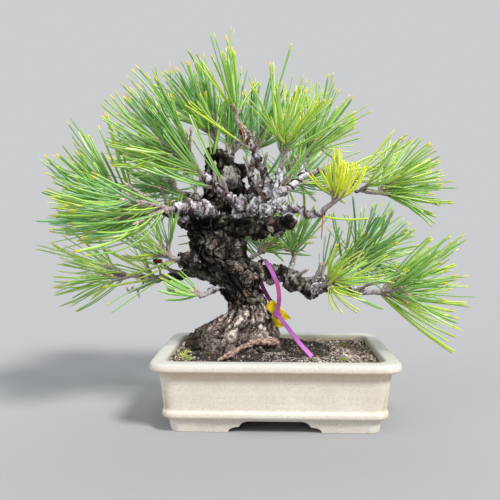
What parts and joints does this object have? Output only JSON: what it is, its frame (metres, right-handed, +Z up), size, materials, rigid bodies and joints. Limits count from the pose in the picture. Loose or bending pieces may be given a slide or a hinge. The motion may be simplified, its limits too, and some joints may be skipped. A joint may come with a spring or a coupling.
{
  "type": "japanese black pine bonsai in a rectangular pot",
  "caption": "Small trained black pine with a crooked tapering trunk, spreading boughs and long stiff needles, standing in a low rectangular stoneware pot filled with soil.",
  "frame": {"origin": "middle of the whole plant's box at the level of the pot's feet", "axes": "+Z up; +X to the right along the pot's long side as seen from the front; -Y towards the viewer"},
  "size_m": [0.3726, 0.259, 0.3292],
  "materials": {
    "pot": "matt cream stoneware with fine dark speckles",
    "soil": "granular brown and tan bonsai soil with moss near the trunk",
    "bark": "deeply fissured flaky black and pinkish brown bark",
    "limb": "rough scaly grey bark",
    "dead_wood": "dry weathered grey wood",
    "needles": "mid green needles with yellow tips on grey twigs",
    "strap": "glossy magenta plastic",
    "tag": "glossy yellow plastic film"
  },
  "bodies": {
    "root": {"bough_back_left": "limb", "bough_back_low": "limb", "bough_back_right": "limb", "bough_back_top": "limb", "bough_left_front": "limb", "bough_left_mid": "limb", "bough_low_left": "limb", "bough_low_right": "limb", "bough_low_right_back": "limb", "bough_mid_right": "limb", "bough_upper_left": "limb", "dead_twig": "dead_wood", "needles_back_left": "needles", "needles_back_low": "needles", "needles_back_right": "needles", "needles_back_top": "needles", "needles_crown": "needles", "needles_far_left": "needles", "needles_left_front": "needles", "needles_low_left": "needles", "needles_low_right": "needles", "needles_low_right_back": "needles", "needles_low_right_up": "needles", "needles_mid_right": "needles", "needles_riser_far_right": "needles", "needles_riser_front": "needles", "needles_riser_middle": "needles", "needles_riser_right": "needles", "needles_riser_top": "needles", "needles_spur_back": "needles", "needles_spur_left": "needles", "needles_spur_right": "needles", "needles_stub_left": "needles", "needles_upper_left": "needles", "pot": "pot", "riser_far_right": "limb", "riser_front": "limb", "riser_middle": "limb", "riser_right": "limb", "riser_top": "limb", "soil": "soil", "spur_back": "limb", "spur_low_left": "limb", "spur_low_right": "limb", "spur_low_right_up": "limb", "stub_left": "limb", "stub_mid_right": "limb", "tie_strap": "strap", "tie_tag": "tag", "trunk": "bark"}
  },
  "joints": []
}
